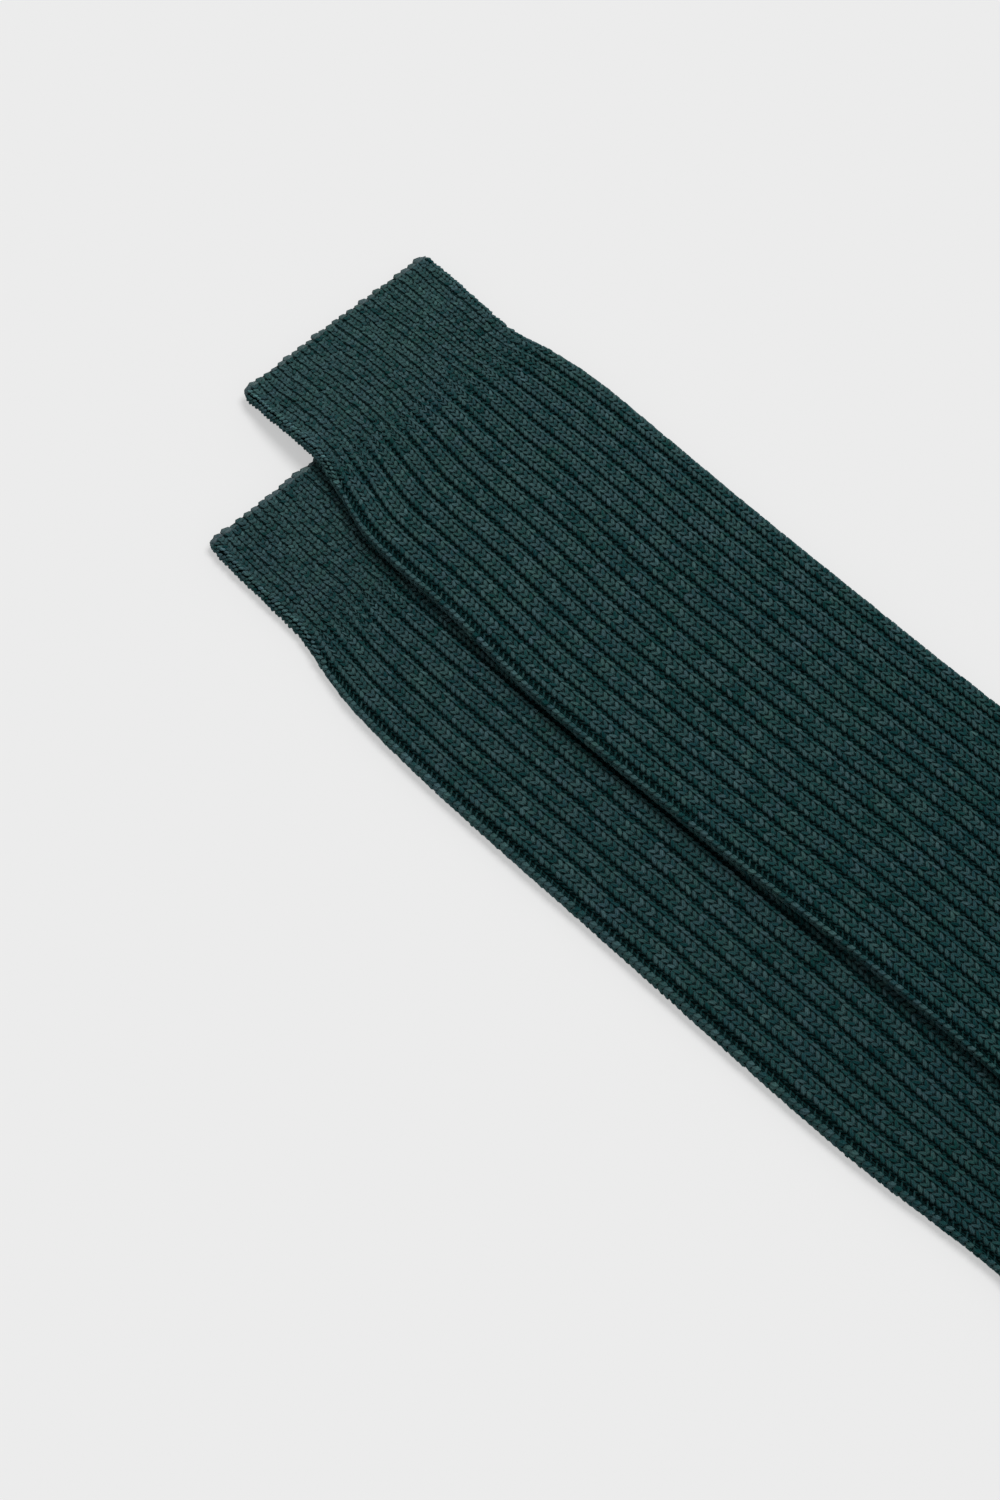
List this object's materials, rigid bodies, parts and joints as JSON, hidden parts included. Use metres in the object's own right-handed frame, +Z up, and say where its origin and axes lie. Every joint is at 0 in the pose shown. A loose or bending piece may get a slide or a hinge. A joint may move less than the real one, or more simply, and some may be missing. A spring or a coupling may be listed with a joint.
{
  "type": "pair of long ribbed socks",
  "caption": "Long ribbed knitted socks laid flat as a pair, the upper one partly over the lower, with fine-rib cuffs, wide-rib legs, turned heels and closed toes.",
  "frame": {"origin": "on the floor, under the middle of the pair's bounding box", "axes": "+X along the legs from the cuffs to the heels, +Y towards the toes, +Z up off the floor"},
  "size_m": [0.546, 0.282, 0.0128],
  "materials": {
    "lower_wool": "dull brushed wool, mottled dark green yarn",
    "upper_wool": "dull brushed wool, mottled dark green yarn"
  },
  "bodies": {
    "root": {"sock_lower": "lower_wool", "sock_upper": "upper_wool"}
  },
  "joints": []
}
